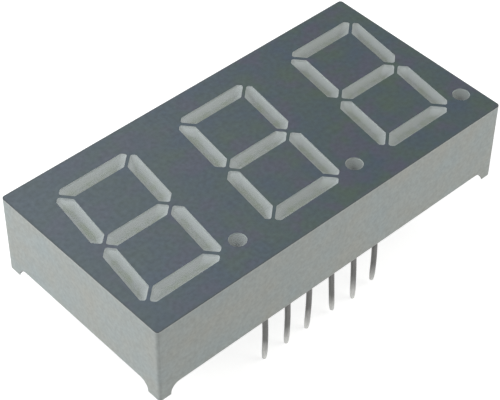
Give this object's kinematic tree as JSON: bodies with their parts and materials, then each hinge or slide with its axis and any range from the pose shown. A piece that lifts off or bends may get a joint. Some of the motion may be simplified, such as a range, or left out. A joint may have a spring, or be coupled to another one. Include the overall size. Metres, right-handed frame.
{
  "type": "seven segment display",
  "caption": "Row of slanted seven-segment LED digits with decimal points in a light grey moulded case with a dark face, corner feet and through-hole pins.",
  "frame": {"origin": "middle of the pin pattern, on the plane that the corner feet stand on", "axes": "+X along the digits in reading order, +Y up the digits, +Z out of the face; the pins run along -Z"},
  "size_m": [0.0376, 0.019, 0.0145],
  "materials": {
    "case_plastic": "moulded, slightly grained, light grey",
    "face_ink": "printed ink, flat dark grey",
    "window_resin": "milky clear epoxy over a white well",
    "die": "sawn semiconductor",
    "bond_wire": "bright gold",
    "laminate": "glass-filled laminate",
    "copper": "etched copper",
    "solder": "bright solder",
    "potting": "milky epoxy, poured",
    "tinned_pin": "tinned wire"
  },
  "bodies": {
    "root": {"reflector_case": "case_plastic", "face_print": "face_ink", "digit_1_segment_a": "window_resin", "digit_1_segment_b": "window_resin", "digit_1_segment_c": "window_resin", "digit_1_segment_d": "window_resin", "digit_1_segment_e": "window_resin", "digit_1_segment_f": "window_resin", "digit_1_segment_g": "window_resin", "digit_1_point": "window_resin", "digit_2_segment_a": "window_resin", "digit_2_segment_b": "window_resin", "digit_2_segment_c": "window_resin", "digit_2_segment_d": "window_resin", "digit_2_segment_e": "window_resin", "digit_2_segment_f": "window_resin", "digit_2_segment_g": "window_resin", "digit_2_point": "window_resin", "digit_3_segment_a": "window_resin", "digit_3_segment_b": "window_resin", "digit_3_segment_c": "window_resin", "digit_3_segment_d": "window_resin", "digit_3_segment_e": "window_resin", "digit_3_segment_f": "window_resin", "digit_3_segment_g": "window_resin", "digit_3_point": "window_resin", "digit_1_dies": "die", "digit_2_dies": "die", "digit_3_dies": "die", "digit_1_bond_wires": "bond_wire", "digit_2_bond_wires": "bond_wire", "digit_3_bond_wires": "bond_wire", "circuit_board": "laminate", "copper_tracks": "copper", "solder_joints": "solder", "potting_resin": "potting", "pin_1": "tinned_pin", "pin_2": "tinned_pin", "pin_3": "tinned_pin", "pin_4": "tinned_pin", "pin_5": "tinned_pin", "pin_6": "tinned_pin", "pin_7": "tinned_pin", "pin_8": "tinned_pin", "pin_9": "tinned_pin", "pin_10": "tinned_pin", "pin_11": "tinned_pin", "pin_12": "tinned_pin"}
  },
  "joints": []
}
